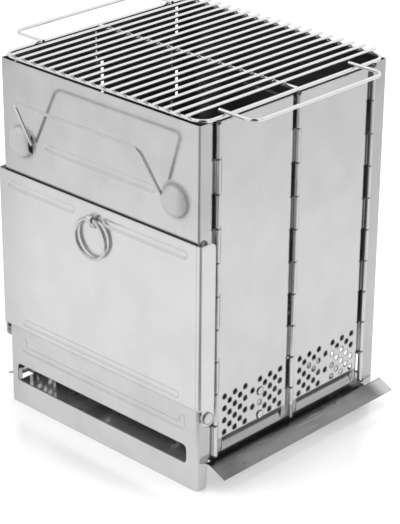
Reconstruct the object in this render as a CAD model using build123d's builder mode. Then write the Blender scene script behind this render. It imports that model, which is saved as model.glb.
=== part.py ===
from build123d import *
from math import cos, radians, sin
import os

os.makedirs("parts", exist_ok=True)

# Folding charcoal grill. Origin on the ground under the middle of the box, +Z up,
# -Y is the front with the drop-down door, +X is the right side.

# Box
body_width = 214.0
body_depth = 210.0
body_height = 300.0
sheet = 0.8
pan_bend_radius = 2.6
slide_gap = 0.3

# Front and rear pans
leg_depth_top = 11.4
leg_depth_foot = 9.5
leg_top = 24.0
flange_foot = 27.5
slot_length = 194.0
slot_offset = -2.0
slot_height = 16.0
slot_level = 28.5
slot_corner = 4.0
bead_depth = 0.9
bead_width = 7.0
bead_back = 2.0
bead_taper = 58.0
upper_bead_length = 121.0
upper_bead_offset = 2.0
upper_bead_drop = 61.0
lower_bead_length = 187.0
lower_bead_level = 52.0
lower_bead_rise = 7.0
fuel_opening_width = 182.0
fuel_opening_bottom = 90.0
fuel_opening_drop = 104.0
fuel_opening_corner = 8.0

# Folding hinges
hinge_inset = 18.2
hinge_bottom = 25.0
hinge_top_drop = 1.5
knuckle_count = 10
knuckle_gap = 0.7
knuckle_radius = 2.1
pin_radius = 1.28
pin_play = 0.05
open_pin_play = 0.3
edge_notch = 4.5
pin_head_radius = 1.75
pin_head_height = 0.6

# Side panels
toe_top = 38.0
toe_valley = 32.0
toe_set_in = 2.0
toe_end = 9.0
vent_radius = 2.4
vent_column_pitch = 5.85
vent_row_pitch = 10.35
vent_bottom = 41.0
vent_group_offset = 20.1
vent_columns = 5
vent_rows = 4
middle_vent_bottom = 50.5
middle_vent_pitch = 14.5

# Grate guide brackets
bracket_thickness = 1.0
bracket_width = 9.0
bracket_height = 28.0
bracket_reach = 11.0
bracket_rivet_margin = 5.0
bracket_rivet_radius = 1.6
bracket_rivet_head_radius = 3.8
bracket_rivet_head_height = 0.9
bracket_rivet_tail_radius = 2.8
bracket_rivet_tail_height = 0.8
bracket_rivet_head_taper = 30.0

# Door
door_gap_front = 1.8
door_gap_side = 3.7
door_bottom = 72.0
door_top_drop = 91.7
door_flange_depth = 16.0
door_corner = 5.0
door_pivot_inset = 6.0
door_pivot_level = 64.5
ear_bottom = 57.0
ear_corner = 5.5
door_bead_drop = 10.8
door_bead_depth = 0.9
door_left_bead_length = 77.5
door_left_bead_offset = -61.25
door_right_bead_length = 90.0
door_right_bead_offset = 53.0
door_low_bead_length = 178.0
door_low_bead_offset = 1.0
door_low_bead_rise = 7.0
door_rivet_radius = 2.5
door_rivet_play = 0.05
door_rivet_shoulder_radius = 3.6
door_rivet_head_radius = 5.0
door_rivet_head_height = 0.9
door_rivet_tail_radius = 3.3
door_rivet_tail_height = 1.1

# Pull ring and its strap
ring_radius = 16.3
ring_offset = -2.5
ring_wire_radius = 1.5
ring_axis_drop = 11.2
strap_width = 6.0
strap_tab = 7.5
strap_bore = 2.1
strap_rivet_radius = 1.0
strap_rivet_head_radius = 1.7
strap_rivet_head_height = 0.7
strap_rivet_drop = 5.0

# Bail handles
bail_wire_radius = 1.3
bail_half_width = 71.0
bail_top_half_width = 67.5
bail_length = 46.5
bail_lean = 26.0
bail_bend = 3.5
bail_top_bend = 6.0
bail_tail = 12.0
bail_drop = 63.2
bail_axis_gap = 1.65
dome_radius = 14.5
dome_height = 6.5
dome_shoulder_radius = 10.0
dome_shoulder_height = 5.0
dome_flank_radius = 12.4
dome_flank_height = 2.5
dome_mouth = 72.5
dome_offset = 83.5

# Base plate
plate_top = 20.5
plate_half_width = 125.0
plate_wing_width = 17.5
plate_wing_angle = 24.0
plate_bend_radius = 8.0
plate_front_gap = 0.8
plate_side_front = 11.6
plate_leg_gap = 0.6
plate_corner_width = 7.2
plate_corner_depth = 15.5
plate_rear_gap = 2.7
plate_tab_rear = 5.0
plate_notch_width = 5.4
plate_notch_depth = 11.0
plate_foot_half = 92.0
plate_foot_arch_half = 64.0
plate_foot_arch_height = 8.0

# Charcoal grate
coal_side_gap = 19.7
coal_end_gap = 16.2
coal_top = 50.0
coal_sheet = 1.0
coal_corner = 6.0
coal_slot_length = 22.0
coal_slot_width = 6.0
coal_slot_pitch_x = 17.5
coal_slot_pitch_y = 31.0
coal_slot_columns = 9
coal_slot_rows = 5
coal_leg_width = 14.0
coal_leg_offset = 68.0

# Cooking grate
grate_wire_radius = 1.5
grate_weld = 0.2
grate_side_reach = 0.3
grate_end_inset = 3.0
grate_corner = 11.0
grate_bar_count = 18
grate_bar_side_gap = 13.375
grate_bar_overhang = 2.0
loop_half_length = 72.0
loop_shift = 7.0
loop_reach = 136.0
loop_tail_inside = 6.0
loop_bend = 9.0

# Worked-out places
half_width = body_width / 2
half_depth = body_depth / 2
front_y = -half_depth
inner_x = half_width - sheet
pin_x = inner_x + knuckle_radius
front_pin_y = front_y + hinge_inset
rear_pin_y = -front_pin_y
running_bore = pin_radius + pin_play
hinge_top = body_height - hinge_top_drop
knuckle_pitch = (hinge_top - hinge_bottom) / knuckle_count
panel_centre = front_pin_y / 2
middle_column = (vent_columns - 1) / 2
bracket_y = panel_centre + vent_group_offset - middle_column * vent_column_pitch
bracket_rivet_top = vent_bottom + 2 * vent_row_pitch
bracket_top = bracket_rivet_top + bracket_rivet_margin
bracket_rivet_places = [(bracket_y, level) for level in (vent_bottom, bracket_rivet_top)]
upper_bead_level = body_height - upper_bead_drop
fuel_opening_top = body_height - fuel_opening_drop
door_top = body_height - door_top_drop
door_bead_level = door_top - door_bead_drop
door_low_bead_level = door_bottom + door_low_bead_rise
ring_axis_level = door_top - ring_axis_drop
door_face_y = front_y - door_gap_front - sheet
door_half_width = half_width + door_gap_side + sheet
door_pivot_y = front_y + door_pivot_inset
door_rear_y = door_face_y + door_flange_depth
ear_front_y = door_face_y + pan_bend_radius
ring_axis_y = door_face_y - strap_bore - sheet
bail_axis_y = front_y - bail_axis_gap
bail_level = body_height - bail_drop
grate_half_width = half_width + grate_side_reach
grate_bar_pitch = 2 * (grate_half_width - grate_bar_side_gap) / (grate_bar_count - 1)
grate_half_depth = half_depth - grate_end_inset
coal_width = 2 * (inner_x - coal_side_gap)
coal_depth = 2 * (half_depth - sheet - coal_end_gap)
grate_level = body_height + slide_gap + grate_wire_radius
loop_tail_x = grate_half_width - loop_tail_inside
grate_bar_level = grate_level + 2 * grate_wire_radius - grate_weld
plate_flat_half = plate_half_width - plate_wing_width
plate_bend_width = plate_bend_radius * sin(radians(plate_wing_angle))
plate_slope_length = (plate_wing_width - plate_bend_width) / cos(radians(plate_wing_angle))
plate_front_y = front_y + sheet + plate_front_gap
plate_side_front_y = front_y + plate_side_front
plate_rear_y = half_depth - sheet - plate_rear_gap
plate_leg_inner = inner_x - plate_leg_gap
plate_leg_outer = plate_leg_inner + plate_notch_width

front_face = Plane(origin=(0, front_y, 0), x_dir=(1, 0, 0), z_dir=(0, -1, 0))
door_face = Plane(origin=(0, door_face_y, 0), x_dir=(1, 0, 0), z_dir=(0, -1, 0))
side_face = Plane.YZ.offset(half_width)

bead_end_x = (lower_bead_length - bead_width) / 2
bead_end_level = lower_bead_level + lower_bead_rise / 2
bead_end_length = bead_width + lower_bead_rise
door_beads = (
    (door_left_bead_offset, door_bead_level, door_left_bead_length),
    (door_right_bead_offset, door_bead_level, door_right_bead_length),
    (door_low_bead_offset, door_low_bead_level, door_low_bead_length),
)
bead_runs = (
    (upper_bead_offset, upper_bead_level, upper_bead_length, 0),
    (0, lower_bead_level, lower_bead_length, 0),
    (-bead_end_x, bead_end_level, bead_end_length, 90),
    (bead_end_x, bead_end_level, bead_end_length, 90),
)


def owned_levels(first):
    """Lower ends of every second knuckle, counted up from the first one owned."""
    return [
        hinge_bottom + index * knuckle_pitch + knuckle_gap / 2
        for index in range(first, knuckle_count, 2)
    ]


def make_knuckles(x_side, pin_y, leaf_direction, first, bore):
    """Rolled knuckles on a leaf that runs from the pin in the given Y direction."""
    tab_length = edge_notch + 0.01
    tab_x = x_side * (half_width - sheet / 2)
    with BuildPart() as knuckles:
        for level in owned_levels(first):
            with BuildSketch(Plane.XY.offset(level)):
                with Locations((x_side * pin_x, pin_y)):
                    Circle(knuckle_radius)
                with Locations((tab_x, pin_y + leaf_direction * tab_length / 2)):
                    Rectangle(sheet, tab_length)
                with Locations((x_side * pin_x, pin_y)):
                    Circle(bore, mode=Mode.SUBTRACT)
            extrude(amount=knuckle_pitch - knuckle_gap)
    return knuckles.part


def build_pan(with_fuel_opening):
    """One pressed pan in the front position, with both of its knuckle rows."""
    with BuildPart() as domes:
        with BuildSketch(Plane.XY.offset(bail_level)):
            with BuildLine():
                Spline(
                    (0, front_y - dome_height),
                    (dome_shoulder_radius, front_y - dome_shoulder_height),
                    (dome_flank_radius, front_y - dome_flank_height),
                    (dome_radius, front_y),
                    tangents=((1, 0), (1, 0)),
                )
                Line((dome_radius, front_y), (dome_radius, front_y + sheet))
                Spline(
                    (dome_radius, front_y + sheet),
                    (dome_flank_radius, front_y + sheet - dome_flank_height),
                    (dome_shoulder_radius, front_y + sheet - dome_shoulder_height),
                    (0, front_y + sheet - dome_height),
                    tangents=((-1, 0), (-1, 0)),
                )
                Line((0, front_y + sheet - dome_height), (0, front_y - dome_height))
            make_face()
        revolve(axis=Axis((0, 0, bail_level), (0, 1, 0)))
        with Locations((dome_mouth - dome_offset, front_y, bail_level)):
            Box(
                2 * dome_radius, 4 * dome_height, 4 * dome_radius,
                align=(Align.MAX, Align.CENTER, Align.CENTER), mode=Mode.SUBTRACT,
            )
    with BuildPart() as pan:
        with BuildSketch() as section:
            flange_depth = hinge_inset - edge_notch
            with Locations((0, front_y)):
                Rectangle(body_width, flange_depth, align=(Align.CENTER, Align.MIN))
            fillet(section.vertices().group_by(Axis.Y)[0], pan_bend_radius)
            with BuildSketch(mode=Mode.SUBTRACT) as hollow:
                with Locations((0, front_y + sheet)):
                    Rectangle(body_width - 2 * sheet, flange_depth, align=(Align.CENTER, Align.MIN))
                fillet(hollow.vertices().group_by(Axis.Y)[0], pan_bend_radius - sheet)
        extrude(amount=body_height)
        with BuildSketch(side_face) as foot_cut:
            with BuildLine():
                Polyline(
                    (front_y + leg_depth_foot, 0),
                    (front_y + leg_depth_top, leg_top),
                    (front_y + hinge_inset, flange_foot),
                    (front_y + hinge_inset, 0),
                    close=True,
                )
            make_face()
        extrude(amount=-body_width, mode=Mode.SUBTRACT)
        for side in (-1, 1):
            add(make_knuckles(side, front_pin_y, -1, 0, pin_radius))
        for grow, depth, mode in (
            (bead_back, bead_depth + sheet, Mode.ADD),
            (0, bead_depth, Mode.SUBTRACT),
        ):
            for centre_x, level, length, turn in bead_runs:
                with BuildSketch(front_face):
                    with Locations((centre_x, level)):
                        SlotOverall(length + 2 * grow, bead_width + 2 * grow, rotation=turn)
                extrude(amount=-depth, taper=bead_taper, mode=mode)
        with BuildSketch(front_face):
            with Locations((slot_offset, slot_level)):
                RectangleRounded(slot_length, slot_height, slot_corner)
            if with_fuel_opening:
                with Locations((0, (fuel_opening_bottom + fuel_opening_top) / 2)):
                    RectangleRounded(
                        fuel_opening_width, fuel_opening_top - fuel_opening_bottom,
                        fuel_opening_corner,
                    )
        extrude(amount=-sheet, mode=Mode.SUBTRACT)
        with BuildSketch(front_face):
            for side in (-1, 1):
                with Locations((side * dome_offset, bail_level)):
                    Circle(dome_radius)
            Rectangle(2 * dome_mouth, 2 * body_height, mode=Mode.SUBTRACT)
        extrude(amount=-sheet, mode=Mode.SUBTRACT)
        add(Pos(dome_offset, 0, 0) * domes.part)
        add(mirror(Pos(dome_offset, 0, 0) * domes.part, about=Plane.YZ, mode=Mode.PRIVATE))
    return pan.part


# Front pan, with the fuel opening behind the door
with BuildPart() as front_pan:
    add(build_pan(True))
    with BuildSketch(side_face):
        with Locations((door_pivot_y, door_pivot_level)):
            Circle(door_rivet_radius)
    extrude(amount=-body_width, mode=Mode.SUBTRACT)
front_pan.part.label = "front_pan"
export_step(front_pan.part, "parts/front_pan.step")

# Rear pan, the same pressing turned round and left without a fuel opening
with BuildPart() as rear_pan:
    add(build_pan(False), rotation=(0, 0, 180))
rear_pan.part.label = "rear_pan"
export_step(rear_pan.part, "parts/rear_pan.step")


def build_side_panel(y_start, y_end, start_row, end_row, start_bore, end_bore, rivet_column):
    """One flat folding panel on the right side, with its vents and knuckles."""
    centre = (y_start + y_end) / 2
    vent_places = [
        (centre, middle_vent_bottom),
        (centre, middle_vent_bottom + middle_vent_pitch),
    ]
    for group in (-1, 1):
        for column in range(vent_columns):
            column_shift = (column - middle_column) * vent_column_pitch
            y_place = centre + group * vent_group_offset + column_shift
            for row in range(vent_rows - column % 2):
                level = vent_bottom + (row + (column % 2) / 2) * vent_row_pitch
                riveted = rivet_column and group == 1 and column == 0 and row in (0, 2)
                if not riveted:
                    vent_places.append((y_place, level))
    with BuildPart() as panel:
        with BuildSketch(side_face):
            with BuildLine():
                Polyline(
                    (y_start + edge_notch, hinge_bottom + knuckle_gap / 2),
                    (y_end - edge_notch, hinge_bottom + knuckle_gap / 2),
                    (y_end - edge_notch, hinge_top - knuckle_gap / 2),
                    (y_start + edge_notch, hinge_top - knuckle_gap / 2),
                    close=True,
                )
            make_face()
            with Locations(*vent_places):
                Circle(vent_radius, mode=Mode.SUBTRACT)
            with Locations((centre, hinge_bottom)):
                Rectangle(
                    y_end - y_start - 2 * toe_end, toe_top - hinge_bottom,
                    align=(Align.CENTER, Align.MIN), mode=Mode.SUBTRACT,
                )
        extrude(amount=-sheet)
        with BuildSketch(Plane.XZ.offset(-(centre - (y_end - y_start) / 2 + toe_end))):
            with BuildLine():
                Polyline(
                    (half_width, toe_top),
                    (inner_x, toe_top),
                    (inner_x - toe_set_in, toe_valley),
                    (inner_x, hinge_bottom + knuckle_gap / 2),
                    (half_width, hinge_bottom + knuckle_gap / 2),
                    (half_width - toe_set_in, toe_valley),
                    close=True,
                )
            make_face()
        extrude(amount=-(y_end - y_start - 2 * toe_end))
        add(make_knuckles(1, y_start, 1, start_row, start_bore))
        add(make_knuckles(1, y_end, -1, end_row, end_bore))
        if rivet_column:
            with BuildSketch(side_face):
                with Locations(*bracket_rivet_places):
                    Circle(bracket_rivet_radius)
            extrude(amount=-sheet, mode=Mode.SUBTRACT)
    return panel.part


front_panel = build_side_panel(
    front_pin_y, 0, 1, 0, running_bore, pin_radius, True
)
rear_panel = build_side_panel(
    0, rear_pin_y, 1, 1, running_bore, running_bore, False
)
open_rear_panel = build_side_panel(
    0, rear_pin_y, 1, 1, running_bore, pin_radius + open_pin_play, False
)

# Right-hand folding panels
with BuildPart() as right_front_panel:
    add(front_panel)
right_front_panel.part.label = "right_front_panel"
export_step(right_front_panel.part, "parts/right_front_panel.step")

with BuildPart() as right_rear_panel:
    add(rear_panel)
right_rear_panel.part.label = "right_rear_panel"
export_step(right_rear_panel.part, "parts/right_rear_panel.step")

# Left-hand folding panels, mirrored; the last hinge on this side runs looser
with BuildPart() as left_front_panel:
    add(mirror(front_panel, about=Plane.YZ, mode=Mode.PRIVATE))
left_front_panel.part.label = "left_front_panel"
export_step(left_front_panel.part, "parts/left_front_panel.step")

with BuildPart() as left_rear_panel:
    add(mirror(open_rear_panel, about=Plane.YZ, mode=Mode.PRIVATE))
left_rear_panel.part.label = "left_rear_panel"
export_step(left_rear_panel.part, "parts/left_rear_panel.step")

# Hinge pins, headed at both ends
for end_name, pin_y in (("front", front_pin_y), ("middle", 0), ("rear", rear_pin_y)):
    for side_name, side in (("right", 1), ("left", -1)):
        with BuildPart() as hinge_pin:
            with BuildSketch(Plane.XY.offset(hinge_bottom + knuckle_gap / 2 - pin_head_height)):
                with Locations((side * pin_x, pin_y)):
                    Circle(pin_head_radius)
            extrude(amount=pin_head_height)
            with BuildSketch(Plane.XY.offset(hinge_bottom + knuckle_gap / 2)):
                with Locations((side * pin_x, pin_y)):
                    Circle(pin_radius)
            extrude(amount=hinge_top - hinge_bottom)
            with BuildSketch(Plane.XY.offset(hinge_top + knuckle_gap / 2)):
                with Locations((side * pin_x, pin_y)):
                    Circle(pin_head_radius)
            extrude(amount=pin_head_height)
        hinge_pin.part.label = f"{end_name}_pin_{side_name}"
        export_step(hinge_pin.part, f"parts/{end_name}_pin_{side_name}.step")

# Guide brackets riveted inside the front panels, and their rivets
with BuildPart() as right_bracket:
    with BuildSketch(Plane.YZ.offset(inner_x)):
        with Locations((bracket_y, bracket_top)):
            Rectangle(bracket_width, bracket_height, align=(Align.CENTER, Align.MAX))
        with Locations(*bracket_rivet_places):
            Circle(bracket_rivet_radius, mode=Mode.SUBTRACT)
    extrude(amount=-bracket_thickness)
    with BuildSketch(Plane.XY.offset(bracket_top)):
        with Locations((inner_x, bracket_y)):
            Rectangle(bracket_reach, bracket_width, align=(Align.MAX, Align.CENTER))
    extrude(amount=-bracket_thickness)
right_bracket.part.label = "right_bracket"
export_step(right_bracket.part, "parts/right_bracket.step")

with BuildPart() as left_bracket:
    add(mirror(right_bracket.part, about=Plane.YZ, mode=Mode.PRIVATE))
left_bracket.part.label = "left_bracket"
export_step(left_bracket.part, "parts/left_bracket.step")

with BuildPart() as right_bracket_rivets:
    with BuildSketch(side_face):
        with Locations(*bracket_rivet_places):
            Circle(bracket_rivet_head_radius)
    extrude(amount=bracket_rivet_head_height, taper=bracket_rivet_head_taper)
    with BuildSketch(side_face):
        with Locations(*bracket_rivet_places):
            Circle(bracket_rivet_radius)
    extrude(amount=-(sheet + bracket_thickness))
    with BuildSketch(Plane.YZ.offset(inner_x - bracket_thickness)):
        with Locations(*bracket_rivet_places):
            Circle(bracket_rivet_tail_radius)
    extrude(amount=-bracket_rivet_tail_height)
right_bracket_rivets.part.label = "right_bracket_rivets"
export_step(right_bracket_rivets.part, "parts/right_bracket_rivets.step")

with BuildPart() as left_bracket_rivets:
    add(mirror(right_bracket_rivets.part, about=Plane.YZ, mode=Mode.PRIVATE))
left_bracket_rivets.part.label = "left_bracket_rivets"
export_step(left_bracket_rivets.part, "parts/left_bracket_rivets.step")

# Drop-down door: face with turned-back sides and two ears for the pivot rivets
with BuildPart() as front_door:
    with BuildSketch() as door_section:
        with Locations((0, door_face_y)):
            Rectangle(2 * door_half_width, door_flange_depth, align=(Align.CENTER, Align.MIN))
        fillet(door_section.vertices().group_by(Axis.Y)[0], pan_bend_radius)
        with BuildSketch(mode=Mode.SUBTRACT) as door_hollow:
            with Locations((0, door_face_y + sheet)):
                Rectangle(
                    2 * door_half_width - 2 * sheet, door_flange_depth,
                    align=(Align.CENTER, Align.MIN),
                )
            fillet(door_hollow.vertices().group_by(Axis.Y)[0], pan_bend_radius - sheet)
    extrude(amount=door_top)
    with BuildSketch(Plane.YZ.offset(door_half_width)) as flange_outline:
        with BuildLine():
            Polyline(
                (door_face_y - sheet, door_bottom),
                (ear_front_y, door_bottom),
                (ear_front_y, ear_bottom + ear_corner),
                (ear_front_y + ear_corner, ear_bottom),
                (door_rear_y - ear_corner, ear_bottom),
                (door_rear_y, ear_bottom + ear_corner),
                (door_rear_y, door_top - door_corner),
                (door_rear_y - door_corner, door_top),
                (door_face_y - sheet, door_top),
                close=True,
            )
        make_face()
        with Locations(
            (ear_front_y + ear_corner, ear_bottom + ear_corner),
            (door_rear_y - ear_corner, ear_bottom + ear_corner),
        ):
            Circle(ear_corner)
        with Locations((door_rear_y - door_corner, door_top - door_corner)):
            Circle(door_corner)
        with Locations((door_pivot_y, door_pivot_level)):
            Circle(door_rivet_radius + door_rivet_play, mode=Mode.SUBTRACT)
    extrude(amount=-2 * door_half_width, mode=Mode.INTERSECT)
    for centre_x, level, length in door_beads:
        with BuildSketch(door_face):
            with Locations((centre_x, level)):
                SlotOverall(length + 2 * bead_back, bead_width + 2 * bead_back)
        extrude(amount=-(door_bead_depth + sheet), taper=bead_taper)
        with BuildSketch(door_face):
            with Locations((centre_x, level)):
                SlotOverall(length, bead_width)
        extrude(amount=-door_bead_depth, taper=bead_taper, mode=Mode.SUBTRACT)
    with BuildSketch(door_face):
        with Locations((ring_offset, ring_axis_level - strap_rivet_drop)):
            Circle(strap_rivet_radius)
    extrude(amount=-sheet, mode=Mode.SUBTRACT)
front_door.part.label = "front_door"
export_step(front_door.part, "parts/front_door.step")

# Shouldered rivets the door turns on, fixed in the pan's sides
with BuildPart() as door_rivets:
    for side in (-1, 1):
        for start, length, radius in (
            (inner_x - door_rivet_tail_height, door_rivet_tail_height, door_rivet_tail_radius),
            (inner_x, sheet, door_rivet_radius),
            (half_width, door_gap_side - slide_gap, door_rivet_shoulder_radius),
            (half_width + door_gap_side - slide_gap, sheet + 2 * slide_gap, door_rivet_radius),
            (door_half_width + slide_gap, door_rivet_head_height, door_rivet_head_radius),
        ):
            turned = Plane(
                origin=(side * start, door_pivot_y, door_pivot_level), z_dir=(side, 0, 0)
            )
            with BuildSketch(turned):
                Circle(radius)
            extrude(amount=length)
door_rivets.part.label = "door_rivets"
export_step(door_rivets.part, "parts/door_rivets.step")

# Strap that holds the pull ring, with its rivet
with BuildPart() as ring_strap:
    with BuildSketch(Plane.YZ.offset(ring_offset + strap_width / 2)):
        with Locations((ring_axis_y, ring_axis_level)):
            Circle(strap_bore + sheet)
        with Locations((door_face_y, ring_axis_level)):
            Rectangle(sheet, strap_tab, align=(Align.MAX, Align.MAX))
        with Locations((ring_axis_y, ring_axis_level)):
            Circle(strap_bore, mode=Mode.SUBTRACT)
    extrude(amount=-strap_width)
    with BuildSketch(door_face.offset(sheet)):
        with Locations((ring_offset, ring_axis_level - strap_rivet_drop)):
            Circle(strap_rivet_head_radius)
    extrude(amount=strap_rivet_head_height)
    with BuildSketch(door_face):
        with Locations((ring_offset, ring_axis_level - strap_rivet_drop)):
            Circle(strap_rivet_radius)
    extrude(amount=-sheet)
ring_strap.part.label = "ring_strap"
export_step(ring_strap.part, "parts/ring_strap.step")

with BuildPart() as pull_ring:
    with Locations(Location((ring_offset, ring_axis_y, ring_axis_level - ring_radius), (90, 0, 0))):
        Torus(ring_radius, ring_wire_radius)
pull_ring.part.label = "pull_ring"
export_step(pull_ring.part, "parts/pull_ring.step")

# Bail handles, front and rear
bail_plane = Plane(
    origin=(0, bail_axis_y, bail_level),
    x_dir=(1, 0, 0),
    z_dir=(0, -cos(radians(bail_lean)), -sin(radians(bail_lean))),
)
with BuildPart() as front_bail:
    with BuildLine(bail_plane) as bail_path:
        Polyline(
            (-bail_half_width - bail_tail, 0),
            (-bail_half_width, 0),
            (-bail_top_half_width, bail_length),
            (bail_top_half_width, bail_length),
            (bail_half_width, 0),
            (bail_half_width + bail_tail, 0),
        )
        fillet(bail_path.vertices().group_by(Axis.Z)[-1], bail_top_bend)
        fillet(bail_path.vertices().group_by(Axis.Z)[0].sort_by(Axis.X)[1:3], bail_bend)
    with BuildSketch(Plane(origin=bail_path.line @ 0, z_dir=bail_path.line % 0)):
        Circle(bail_wire_radius)
    sweep()
front_bail.part.label = "front_bail"
export_step(front_bail.part, "parts/front_bail.step")

with BuildPart() as rear_bail:
    add(front_bail.part, rotation=(0, 0, 180))
rear_bail.part.label = "rear_bail"
export_step(rear_bail.part, "parts/rear_bail.step")

# Base plate: flat top, sloped sides, two turned-down feet, notched round the legs
with BuildPart() as base_plate:
    with BuildSketch(Plane.XZ.offset(-plate_front_y)):
        with Locations((0, plate_top)):
            Rectangle(2 * plate_flat_half, sheet, align=(Align.CENTER, Align.MAX))
        for side in (-1, 1):
            with BuildLine():
                bend_centre = (side * plate_flat_half, plate_top - plate_bend_radius)
                turn = -side * plate_wing_angle
                outer_bend = CenterArc(bend_centre, plate_bend_radius, 90, turn)
                inner_bend = CenterArc(bend_centre, plate_bend_radius - sheet, 90, turn)
                outer_slope = Line(
                    outer_bend @ 1, outer_bend @ 1 + plate_slope_length * (outer_bend % 1)
                )
                inner_slope = Line(
                    inner_bend @ 1, inner_bend @ 1 + plate_slope_length * (inner_bend % 1)
                )
                Line(outer_bend @ 0, inner_bend @ 0)
                Line(outer_slope @ 1, inner_slope @ 1)
            make_face()
    extrude(amount=-(half_depth + plate_tab_rear - plate_front_y))
    with BuildSketch(Plane.XY.offset(plate_top)):
        with Locations((0, half_depth + plate_tab_rear)):
            Rectangle(
                2 * plate_leg_inner, half_depth + plate_tab_rear - plate_rear_y,
                align=(Align.CENTER, Align.MAX),
            )
        for side in (-1, 1):
            with Locations(
                (side * (plate_leg_inner + plate_leg_outer) / 2, half_depth + plate_tab_rear)
            ):
                Rectangle(
                    plate_notch_width,
                    half_depth + plate_tab_rear - plate_rear_y + plate_notch_depth,
                    align=(Align.CENTER, Align.MAX),
                )
            with Locations((side * (plate_leg_inner - plate_corner_width), plate_front_y)):
                Rectangle(
                    plate_half_width, plate_side_front_y - plate_front_y,
                    align=(Align.MIN if side > 0 else Align.MAX, Align.MIN),
                )
                Rectangle(
                    plate_corner_width, plate_corner_depth,
                    align=(Align.MIN if side > 0 else Align.MAX, Align.MIN),
                )
    extrude(amount=-plate_top, mode=Mode.SUBTRACT)
    for foot_y in (plate_front_y, plate_rear_y - sheet):
        with BuildSketch(Plane.XZ.offset(-foot_y)):
            Rectangle(2 * plate_foot_half, plate_top - sheet / 2, align=(Align.CENTER, Align.MIN))
            Rectangle(
                2 * plate_foot_arch_half, plate_foot_arch_height,
                align=(Align.CENTER, Align.MIN), mode=Mode.SUBTRACT,
            )
        extrude(amount=-sheet)
base_plate.part.label = "base_plate"
export_step(base_plate.part, "parts/base_plate.step")

# Charcoal grate: slotted tray on four legs that stand on the base plate
with BuildPart() as charcoal_grate:
    with BuildSketch(Plane.XY.offset(coal_top - coal_sheet)):
        RectangleRounded(coal_width, coal_depth, coal_corner)
        with GridLocations(coal_slot_pitch_x, coal_slot_pitch_y, coal_slot_columns, coal_slot_rows):
            SlotOverall(coal_slot_length, coal_slot_width, rotation=90, mode=Mode.SUBTRACT)
    extrude(amount=coal_sheet)
    with BuildSketch(Plane.XY.offset(plate_top)):
        for side in (-1, 1):
            with Locations(
                (side * (coal_width - coal_sheet) / 2, coal_leg_offset),
                (side * (coal_width - coal_sheet) / 2, -coal_leg_offset),
            ):
                Rectangle(coal_sheet, coal_leg_width)
    extrude(amount=coal_top - coal_sheet / 2 - plate_top)
charcoal_grate.part.label = "charcoal_grate"
export_step(charcoal_grate.part, "parts/charcoal_grate.step")

# Cooking grate: bent frame wire, bars across it, a cross bar and two loop handles
with BuildPart() as cooking_grate_frame:
    with BuildLine(Plane.XY.offset(grate_level)) as frame_path:
        FilletPolyline(
            (-grate_half_width, -grate_half_depth),
            (grate_half_width, -grate_half_depth),
            (grate_half_width, grate_half_depth),
            (-grate_half_width, grate_half_depth),
            radius=grate_corner,
            close=True,
        )
    with BuildSketch(Plane(origin=frame_path.line @ 0, z_dir=frame_path.line % 0)):
        Circle(grate_wire_radius)
    sweep()
cooking_grate_frame.part.label = "cooking_grate_frame"
export_step(cooking_grate_frame.part, "parts/cooking_grate_frame.step")

with BuildPart() as cooking_grate_bars:
    bar_half = grate_half_depth + grate_wire_radius + grate_bar_overhang
    with BuildSketch(Plane.XZ.offset(bar_half)):
        with Locations((0, grate_bar_level)):
            with GridLocations(grate_bar_pitch, grate_bar_pitch, grate_bar_count, 1):
                Circle(grate_wire_radius)
    extrude(amount=-2 * bar_half)
cooking_grate_bars.part.label = "cooking_grate_bars"
export_step(cooking_grate_bars.part, "parts/cooking_grate_bars.step")

with BuildPart() as cooking_grate_cross_bar:
    cross_bar_half = grate_half_width - grate_wire_radius + grate_weld
    with BuildSketch(Plane.YZ.offset(-cross_bar_half)):
        with Locations((0, grate_level)):
            Circle(grate_wire_radius)
    extrude(amount=2 * cross_bar_half)
cooking_grate_cross_bar.part.label = "cooking_grate_cross_bar"
export_step(cooking_grate_cross_bar.part, "parts/cooking_grate_cross_bar.step")

for side_name, side in (("right", 1), ("left", -1)):
    with BuildPart() as grate_handle:
        with BuildLine(Plane.XY.offset(grate_bar_level)):
            FilletPolyline(
                (side * loop_tail_x, -loop_half_length - side * loop_shift),
                (side * loop_reach, -loop_half_length - side * loop_shift),
                (side * loop_reach, loop_half_length - side * loop_shift),
                (side * loop_tail_x, loop_half_length - side * loop_shift),
                radius=loop_bend,
            )
        handle_start = Plane(
            origin=(side * loop_tail_x, -loop_half_length - side * loop_shift, grate_bar_level),
            z_dir=(side, 0, 0),
        )
        with BuildSketch(handle_start):
            Circle(grate_wire_radius)
        sweep()
    grate_handle.part.label = f"grate_handle_{side_name}"
    export_step(grate_handle.part, f"parts/grate_handle_{side_name}.step")
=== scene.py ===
import math
import bmesh
import bpy
from mathutils import Matrix, Vector


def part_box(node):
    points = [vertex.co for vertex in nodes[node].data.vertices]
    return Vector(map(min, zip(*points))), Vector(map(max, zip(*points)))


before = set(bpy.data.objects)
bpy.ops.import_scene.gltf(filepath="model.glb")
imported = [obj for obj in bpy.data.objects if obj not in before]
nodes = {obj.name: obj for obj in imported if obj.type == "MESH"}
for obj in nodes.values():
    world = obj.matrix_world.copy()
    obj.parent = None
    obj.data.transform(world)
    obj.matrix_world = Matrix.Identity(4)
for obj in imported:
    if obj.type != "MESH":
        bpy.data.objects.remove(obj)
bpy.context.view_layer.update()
scene = bpy.context.scene


def middle(name):
    """The middle of a CAD node's box."""
    low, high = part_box(name)
    return (low + high) / 2


def upright_pair(name):
    """Centres (y, z) of a lower and an upper rivet that make up one node."""
    low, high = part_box(name)
    radius = (high.y - low.y) / 2
    return (low.y + radius, low.z + radius), (low.y + radius, high.z - radius)


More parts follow.
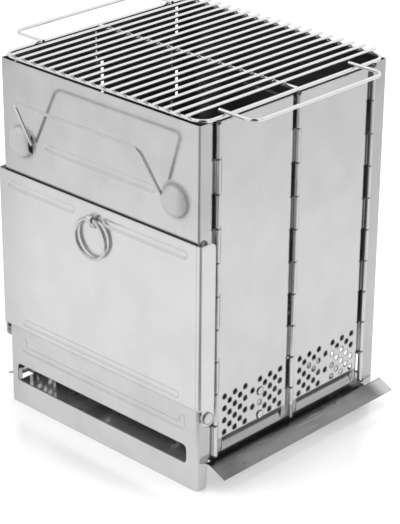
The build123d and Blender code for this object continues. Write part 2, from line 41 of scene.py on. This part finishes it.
# Places in metres, read by marks that are painted where they lie on the box.
HALF_WIDTH = 0.107
SHEET_THICKNESS = 0.0008
KNUCKLE_GAP = 0.00035
KNUCKLE_COUNT = 10
LIP_LEVEL = 0.0378
DOME_ACROSS = 0.0835
DOME_LEVEL = 0.2368
# Offsets from each hinge pin of its band of painted shade and highlight, and of the darker strip where
# the leaf curls in.
HINGE_SHADE_OFFSET = 0.0034
CURL_SHADE_OFFSET = 0.0037
PANEL_LOW, PANEL_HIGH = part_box("right_front_panel")
KNUCKLE_FOOT = PANEL_LOW.z - KNUCKLE_GAP
KNUCKLE_PITCH = (PANEL_HIGH.z + KNUCKLE_GAP - KNUCKLE_FOOT) / KNUCKLE_COUNT
DOOR_EDGE_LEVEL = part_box("front_door")[1].z - SHEET_THICKNESS
HINGE_LINES = [middle(row + "_pin_right").y for row in ("front", "middle", "rear")]
DOOR_RIVETS = (middle("door_rivets").yz,)
BRACKET_RIVETS = upright_pair("right_bracket_rivets")

# What the lamps aim at, and the level direction in which the tent is open.
LAMP_TARGET = Vector((0, 0, 0.15))
DARK_ROOM = (0.69, -0.724, 0)


class Signal:
    """A node's output that adds Math nodes when it is used in arithmetic."""

    def __init__(self, tree, socket):
        self.tree = tree
        self.socket = socket

    def _math(self, operation, first, second=None):
        node = self.tree.nodes.new("ShaderNodeMath")
        node.operation = operation
        for slot, value in zip(node.inputs, (first, second)):
            if isinstance(value, Signal):
                self.tree.links.new(value.socket, slot)
            elif value is not None:
                slot.default_value = value
        return Signal(self.tree, node.outputs[0])

    def __add__(self, other):
        return self._math("ADD", self, other)

    def __radd__(self, other):
        return self._math("ADD", other, self)

    def __sub__(self, other):
        return self._math("SUBTRACT", self, other)

    def __rsub__(self, other):
        return self._math("SUBTRACT", other, self)

    def __mul__(self, other):
        return self._math("MULTIPLY", self, other)

    def __rmul__(self, other):
        return self._math("MULTIPLY", other, self)

    def __truediv__(self, other):
        return self._math("DIVIDE", self, other)

    def __rtruediv__(self, other):
        return self._math("DIVIDE", other, self)

    def __lt__(self, other):
        return self._math("LESS_THAN", self, other)

    def __gt__(self, other):
        return self._math("GREATER_THAN", self, other)

    def __abs__(self):
        return self._math("ABSOLUTE", self)

    def fraction(self):
        return self._math("FRACT", self)

    def also(self, output):
        """Another output of the same node."""
        return Signal(self.tree, self.socket.node.outputs[output])


class Finish:
    """A material whose nodes are added by name, with their settings and inputs."""

    def __init__(self, name, tree=None):
        if tree is None:
            self.material = bpy.data.materials.new(name)
            self.material.use_nodes = True
            tree = self.material.node_tree
        self.tree = tree
        tree.nodes.clear()

    def add(self, kind, settings=None, output=0, **inputs):
        """Adds a node; an input is given by its name, or as i0, i1 and so on by its number."""
        node = self.tree.nodes.new("ShaderNode" + kind)
        for key, value in (settings or {}).items():
            if key == "stops":
                self.set_stops(node.color_ramp, value)
            else:
                setattr(node, key, value)
        for key, value in inputs.items():
            numbered = key[0] == "i" and key[1:].isdigit()
            slot = node.inputs[int(key[1:]) if numbered else key.replace("_", " ")]
            if isinstance(value, Signal):
                self.tree.links.new(value.socket, slot)
            elif isinstance(value, (tuple, list)) and slot.type == "RGBA":
                slot.default_value = (*value[:3], 1)
            else:
                slot.default_value = value
        return Signal(self.tree, node.outputs[output]) if node.outputs else None

    def set_stops(self, ramp, stops):
        """Gives a colour ramp its grey tones, each with its place."""
        while len(ramp.elements) < len(stops):
            ramp.elements.new(0.5)
        for element, (place, tone) in zip(ramp.elements, stops):
            element.position = place
            element.color = (*grey(tone), 1)

    def place(self, scale=(1, 1, 1)):
        """Object coordinates, scaled along each axis."""
        coordinates = self.add("TexCoord", output=3)
        return self.add("Mapping", i0=coordinates, Scale=scale)

    def axes(self, vector):
        """The x, y and z of a vector."""
        x = self.add("SeparateXYZ", Vector=vector)
        return x, x.also(1), x.also(2)

    def noise(self, scale, detail=2.0, stretch=(1, 1, 1)):
        return self.add("TexNoise", Vector=self.place(stretch), Scale=scale, Detail=detail)

    def blend(self, factor, first, second):
        return self.add("Mix", {"data_type": "RGBA"}, 2, i0=factor, i6=first, i7=second)

    def ramp(self, signal, start, end):
        """0 up to start, 1 from end on, and eased between them."""
        return self.add("MapRange", {"interpolation_type": "SMOOTHSTEP"}, i0=signal, i1=start, i2=end)

    def dot(self, first, second):
        return self.add("VectorMath", {"operation": "DOT_PRODUCT"}, 1, i0=first, i1=second)

    def grey_ramp(self, signal, stops):
        return self.add("ValToRGB", {"stops": stops}, Fac=signal)

    def mix_shaders(self, factor, first, second):
        return self.add("MixShader", Fac=factor, i1=first, i2=second)

    def rays(self):
        """1 for rays from the camera and 1 for mirror rays, else 0."""
        camera_ray = self.add("LightPath")
        return camera_ray, camera_ray.also("Is Glossy Ray")

    def principled(self, **inputs):
        shader = self.add("BsdfPrincipled", **inputs)
        self.add("OutputMaterial", Surface=shader)
        return self.material


def grey(tone, blue=0.0):
    """A grey with a little more blue, or less."""
    return (tone, tone, tone + blue)


class Sheet(Finish):
    """Sheet metal of the box, whose marks are painted by their places on it."""

    def __init__(self, name):
        super().__init__(name)
        self.x, self.y, self.z = self.axes(self.place())
        self.outward = self.dot(self.place((1, 1, 0)), self.add("TexCoord", output=1))
        self.outside = self.outward > 0.03

    def band(self, coordinate, level, reach, core):
        """1 as far as core from a level, fading to 0 at reach."""
        return self.ramp(abs(coordinate - level), reach, core)

    def shaded_ends(self, colour):
        """Makes the left end of the pans and the door, and the right flanges, a little darker."""
        left_end = self.ramp(self.x, -0.06, -HALF_WIDTH)
        right_flange = abs(self.x - HALF_WIDTH) < 0.0005
        on_pans = abs(self.y) > 0.09
        return self.blend(0.14 * (left_end + right_flange) * on_pans, colour, grey(0))

    def paint_hinge_shade_and_highlight(self, colour):
        """Painted shade and highlight on each hinge: streaky pale and dark bands by the knuckles, a
        darker strip of painted shade where the leaf curls in, and painted shade between the knuckles.
        """
        knuckle = (self.z - KNUCKLE_FOOT) / KNUCKLE_PITCH
        slit_shade = self.ramp(abs(knuckle.fraction() - 0.5), 0.455, 0.485)
        for hinge in HINGE_LINES:
            streak = self.noise(55.0, 3.0, (1, 1, 0.25))
            near = self.band(self.y, hinge - HINGE_SHADE_OFFSET, 0.0034, 0.0012) * self.outside
            curl_shade = self.band(self.y, hinge - CURL_SHADE_OFFSET, 0.0018, 0.0012)
            hinge_shading = self.blend(self.ramp(streak, 0.3, 0.6), grey(0.25), grey(0.85))
            hinge_shading = self.blend(0.85 * curl_shade, hinge_shading, self.blend(streak, grey(0.04), grey(0.3)))
            hinge_shading = self.blend(slit_shade, hinge_shading, grey(0.04))
            colour = self.blend(near * 0.9, colour, hinge_shading)
        return colour

    def shade_under_lip(self, colour):
        """Painted shade on the toe under the panels' formed lip, streaked along the sheet."""
        streak = self.noise(240.0, 3.0, (1, 0.04, 1))
        toe = self.ramp(self.z, LIP_LEVEL + 0.001, LIP_LEVEL - 0.001) * self.outside
        return self.blend(toe, colour, self.blend(streak, grey(0.25), grey(0.55)))

    def shade_behind_door_edge(self, colour):
        """A thin dark line of painted shade on the front pan, behind the shut door's upper edge."""
        line = self.band(self.z, DOOR_EDGE_LEVEL, 0.0014, 0.0007)
        behind_door = (self.y < -0.104) * (abs(self.x) < 0.1055)
        return self.blend(0.85 * line * behind_door, colour, grey(0.04))

    def domes(self):
        """1 on the two pressed domes of each pan, 0 elsewhere."""
        across = abs(self.x) - DOME_ACROSS
        up = self.z - DOME_LEVEL
        return self.ramp(across * across + up * up, 0.0003, 0.00018) * (abs(self.y) > 0.1)


def sheet_steel(name, light, dark, polish, haze, wave, on_box=True, lip=False, pan=False):
    """Rolled and polished sheet: faint grain up the sheet, slow waves and handling smudges."""
    finish = Sheet(name)
    slow = finish.noise(7.0, 1.0)
    smudge = finish.ramp(finish.noise(28.0, 4.0), 0.3, 0.7)
    grain = finish.noise(900.0, 2.0, (1, 1, 0.03))
    colour = finish.shaded_ends(finish.blend(smudge * 0.6 + grain * 0.4, dark, light))
    rough = polish + haze * smudge + 0.05 * grain
    metal = 0.85
    if on_box:
        # Painted shade and highlight along the hinges.
        colour = finish.paint_hinge_shade_and_highlight(colour)
    if lip:
        # Painted shade under the panels' lip.
        colour = finish.shade_under_lip(colour)
    if pan:
        # The domes get a painted sheen: a flat paler grey, rougher and less metallic, which softens
        # their shading.
        dome_sheen = finish.domes()
        # The front pan gets a line of painted shade behind the shut door's upper edge.
        colour = finish.blend(0.8 * dome_sheen, finish.shade_behind_door_edge(colour), grey(0.6, 0.005))
        rough = rough + 0.4 * dome_sheen
        metal = metal - 0.4 * dome_sheen
    if on_box:
        # Inside faces are darkened in smudges from a little above the vents up: painted shade inside the
        # closed box.
        inside_shade = (finish.outward < -0.03) * finish.ramp(finish.z, 0.06, 0.085)
        colour = finish.blend(inside_shade, colour, finish.blend(smudge, grey(0.14), grey(0.21)))
        rough = rough + 0.2 * inside_shade
    rounded = finish.add("Bevel", {"samples": 6}, Radius=0.002)
    bump = finish.add(
        "Bump", Strength=wave, Distance=0.0025, Height=slow + 0.004 * grain, Normal=rounded
    )
    return finish.principled(Base_Color=colour, Metallic=metal, Roughness=rough, Normal=bump)


def blued_plate(name, light, dark, pale_grey):
    """Dark polished tray: cloudy heat marks, short scratches and small spatters, paler at the back;
    painted light on the plate under the box and painted shade where the box stands on it.
    """
    finish = Finish(name)
    cloud = finish.noise(26.0, 5.0, (1, 0.45, 1))
    scratch = finish.noise(300.0, 2.0, (1, 0.06, 1))
    spatter = finish.add("TexVoronoi", Vector=finish.place(), Scale=95.0) < 0.16
    x, y, _ = finish.axes(finish.place())
    across = abs(x)
    colour = finish.blend(finish.ramp(cloud, 0.3, 0.68), dark, light)
    rear_end = finish.ramp(y, 0.09, 0.105)
    colour = finish.blend(rear_end, colour, pale_grey)
    # Inside the box the plate is painted paler and mottled: painted light in the box.
    painted_light_under_box = finish.ramp(across, 0.101, 0.097)
    mottled = finish.blend(finish.ramp(cloud, 0.35, 0.6), grey(0.34), grey(0.78))
    colour = finish.blend(painted_light_under_box, colour, mottled)
    # A near-black band of painted shade where the box stands on the plate.
    seam_shade = finish.ramp(across, 0.103, 0.105) * finish.ramp(across, 0.1135, 0.109)
    colour = finish.blend(0.85 * seam_shade, colour, grey(0.04))
    colour = finish.blend(0.35 * spatter, colour, dark)
    colour = finish.blend(0.2 * finish.ramp(scratch, 0.6, 0.75), colour, pale_grey)
    bump = finish.add("Bump", Strength=0.4, Distance=0.0015, Height=cloud + 0.03 * scratch)
    rough = 0.07 + 0.1 * cloud + 0.2 * spatter
    return finish.principled(Base_Color=colour, Metallic=0.85, Roughness=rough, Normal=bump)


def bright_wire(name, light, dark, polish):
    """Drawn and plated wire with fine draw marks."""
    finish = Finish(name)
    marks = finish.noise(420.0, 3.0)
    patches = finish.noise(60.0, 2.0)
    colour = finish.blend(patches * 0.7 + marks * 0.3, dark, light)
    bump = finish.add("Bump", Strength=0.15, Distance=0.0002, Height=marks)
    return finish.principled(
        Base_Color=colour, Metallic=1.0, Roughness=polish + 0.12 * patches, Normal=bump
    )


def rivets_with_edge_shade(name, light, dark, centres, radius, ring):
    """Bright rivets with a dark ring of painted shade round the edge of each pressed head; the centres
    are given as (y, z).
    """
    finish = Finish(name)
    patches = finish.noise(120.0, 2.0)
    colour = finish.blend(patches, dark, light)
    _, y, z = finish.axes(finish.place())
    for centre_y, centre_z in centres:
        away = (y - centre_y) * (y - centre_y) + (z - centre_z) * (z - centre_z)
        edge_shade = finish.ramp(away, (0.72 * radius) ** 2, (0.86 * radius) ** 2)
        edge_shade = edge_shade * (away < (1.3 * radius) ** 2)
        # A dark ring of painted shade round each head.
        colour = finish.blend(ring * edge_shade, colour, grey(0.08))
    return finish.principled(Base_Color=colour, Metallic=0.9, Roughness=0.1 + 0.1 * patches)


def heat_stained(name, dark, light):
    """Blackened sheet of the charcoal grate."""
    finish = Finish(name)
    scale = finish.noise(90.0, 5.0)
    colour = finish.blend(scale, dark, light)
    bump = finish.add("Bump", Strength=0.3, Distance=0.0004, Height=scale)
    return finish.principled(
        Base_Color=colour, Metallic=0.8, Roughness=0.4 + 0.25 * scale, Normal=bump
    )


FINISHES = {
    sheet_steel("pan_steel", grey(0.72, 0.005), grey(0.61, 0.005), 0.07, 0.05, 0.5, pan=True): (
        "front_pan", "rear_pan",
    ),
    sheet_steel("panel_steel", grey(0.71), grey(0.635, 0.005), 0.08, 0.08, 0.35, lip=True): (
        "right_front_panel", "right_rear_panel", "left_front_panel", "left_rear_panel",
    ),
    sheet_steel("door_steel", grey(0.775, 0.005), grey(0.69, 0.005), 0.12, 0.1, 0.6, on_box=False): (
        "front_door", "ring_strap",
    ),
    blued_plate("plate_steel", grey(0.28), grey(0.08, 0.002), grey(0.66)): ("base_plate",),
    # The pins are near black: painted shade in the gaps between the knuckles.
    bright_wire("shade_dark_pins", grey(0.25), grey(0.12), 0.2): (
        "front_pin_right", "front_pin_left", "middle_pin_right", "middle_pin_left",
        "rear_pin_right", "rear_pin_left",
    ),
    bright_wire("rivet_steel", grey(0.72, 0.005), grey(0.5, 0.005), 0.08): (
        "right_bracket", "left_bracket",
    ),
    rivets_with_edge_shade("door_rivet_steel", grey(0.72), grey(0.6), DOOR_RIVETS, 0.005, 0.45): (
        "door_rivets",
    ),
    rivets_with_edge_shade("bracket_rivet_steel", grey(0.72), grey(0.55), BRACKET_RIVETS, 0.0037, 0.8): (
        "right_bracket_rivets", "left_bracket_rivets",
    ),
    bright_wire("wire_steel", grey(0.74, 0.005), grey(0.56, 0.005), 0.04): (
        "front_bail", "rear_bail", "pull_ring",
    ),
    bright_wire("bar_steel", grey(0.96), grey(0.86), 0.1): (
        "cooking_grate_frame", "cooking_grate_bars", "cooking_grate_cross_bar",
        "grate_handle_right", "grate_handle_left",
    ),
    heat_stained("grate_steel", grey(0.06), grey(0.2, -0.01)): ("charcoal_grate",),
}
for material, names in FINISHES.items():
    for name in names:
        mesh = nodes[name].data
        mesh.materials.clear()
        mesh.materials.append(material)


def towards_room(finish, direction):
    """1 in the directions of the dark room, where the photographer stood, 0 elsewhere."""
    level = finish.add("VectorMath", {"operation": "MULTIPLY"}, i0=direction, i1=(1, 1, 0))
    level = finish.add("VectorMath", {"operation": "NORMALIZE"}, i0=level)
    return finish.ramp(finish.dot(level, DARK_ROOM), 0.84, 0.93)


def make_floor():
    """Pale floor: white to the camera with a soft shadow and a faint mirror image."""
    mesh = bpy.data.meshes.new("studio_floor")
    shape = bmesh.new()
    bmesh.ops.create_grid(shape, x_segments=1, y_segments=1, size=6.0)
    shape.to_mesh(mesh)
    shape.free()
    floor = bpy.data.objects.new("studio_floor", mesh)
    scene.collection.objects.link(floor)
    finish = Finish("floor_white")
    camera_ray, glossy_ray = finish.rays()
    x, y, _ = finish.axes(finish.place())
    reach = x * x + y * y
    # Mirror rays see the floor in painted light: a little darker right by the box as painted shadow,
    # palest a little way off, dimmer far away, and near black towards the dark room.
    tone = finish.grey_ramp(reach, [(0.0, 0.92), (0.06, 0.96), (0.2, 0.97), (0.4, 0.82), (1.0, 0.7)])
    room = towards_room(finish, finish.place()) * finish.ramp(reach, 0.03, 0.1)
    tone = finish.blend(room, tone, grey(0.03))
    matt = finish.add("BsdfDiffuse", Color=grey(0.82))
    glow = finish.add("Emission", Color=grey(1), Strength=0.4)
    mirror = finish.add("BsdfGlossy", Color=grey(0.9), Roughness=0.2)
    seen = finish.add("AddShader", i0=matt, i1=glow)
    seen = finish.mix_shaders(finish.ramp(reach, 0.06, 0.012) * 0.22 + 0.05, seen, mirror)
    reflected = finish.add("Emission", Color=tone, Strength=1.0)
    reflected = finish.mix_shaders(0.8, matt, reflected)
    surface = finish.mix_shaders(glossy_ray, matt, reflected)
    finish.add("OutputMaterial", Surface=finish.mix_shaders(camera_ray, surface, seen))
    mesh.materials.append(finish.material)


def make_world():
    """White tent all round, open towards the dark room."""
    world = bpy.data.worlds.new("studio")
    scene.world = world
    world.use_nodes = True
    finish = Finish("studio", world.node_tree)
    camera_ray, glossy_ray = finish.rays()
    direction = finish.add("TexCoord", output=0)
    _, _, height = finish.axes(direction)
    sky = finish.grey_ramp(height, [(0.0, 0.8), (0.35, 0.92), (0.7, 1.0)])
    folds = finish.add("TexNoise", Vector=direction, Scale=1.6, Detail=1.0)
    sky = finish.blend(finish.ramp(folds, 0.35, 0.6), finish.blend(0.25, sky, grey(0)), sky)
    sky = finish.blend(towards_room(finish, direction), sky, grey(0.03))
    light = finish.add("Background", Color=grey(1), Strength=0.75)
    shown = finish.add("Background", Color=grey(1), Strength=1.0)
    mirrored = finish.add("Background", Color=sky, Strength=1.0)
    surface = finish.mix_shaders(glossy_ray, light, mirrored)
    finish.add("OutputWorld", Surface=finish.mix_shaders(camera_ray, surface, shown))


def add_lamp(name, place, size, power):
    """Square lamp aimed at the grill, which mirror rays don't see."""
    lamp = bpy.data.lights.new(name, "AREA")
    lamp.shape = "SQUARE"
    lamp.size = size
    lamp.energy = power
    holder = bpy.data.objects.new(name, lamp)
    holder.visible_glossy = False
    holder.location = place
    holder.rotation_euler = (LAMP_TARGET - Vector(place)).to_track_quat("-Z", "Y").to_euler()
    scene.collection.objects.link(holder)


def add_camera():
    """The photograph's viewpoint, found from the box's corners and hinge knuckles."""
    position = (1.008, -1.049, 0.799)
    turn, tilt, roll = (math.radians(angle) for angle in (-43.63, -24.83, 0.45))
    photo_height_px = 524.0
    focal_length_px = 1977.0
    sensor_mm = 24.0
    forward = Vector((math.cos(tilt) * math.sin(turn), math.cos(tilt) * math.cos(turn), math.sin(tilt)))
    level = Vector((math.cos(turn), -math.sin(turn), 0))
    upward = level.cross(forward)
    right = level * math.cos(roll) + upward * math.sin(roll)
    top = upward * math.cos(roll) - level * math.sin(roll)
    lens = bpy.data.cameras.new("camera")
    lens.sensor_fit = "VERTICAL"
    lens.sensor_height = sensor_mm
    lens.lens = focal_length_px * sensor_mm / photo_height_px
    lens.clip_end = 50
    holder = bpy.data.objects.new("camera", lens)
    turn_matrix = Matrix((right, top, -forward)).transposed().to_4x4()
    holder.matrix_world = Matrix.Translation(position) @ turn_matrix
    scene.collection.objects.link(holder)
    scene.camera = holder


make_floor()
make_world()
add_lamp("key_lamp", (-1.2, -1.6, 1.9), 1.4, 22)
add_lamp("rim_lamp", (1.7, 1.0, 1.6), 1.2, 12)
add_lamp("top_lamp", (0.1, 0.3, 2.2), 1.6, 14)
add_camera()

scene.view_settings.view_transform = "Standard"
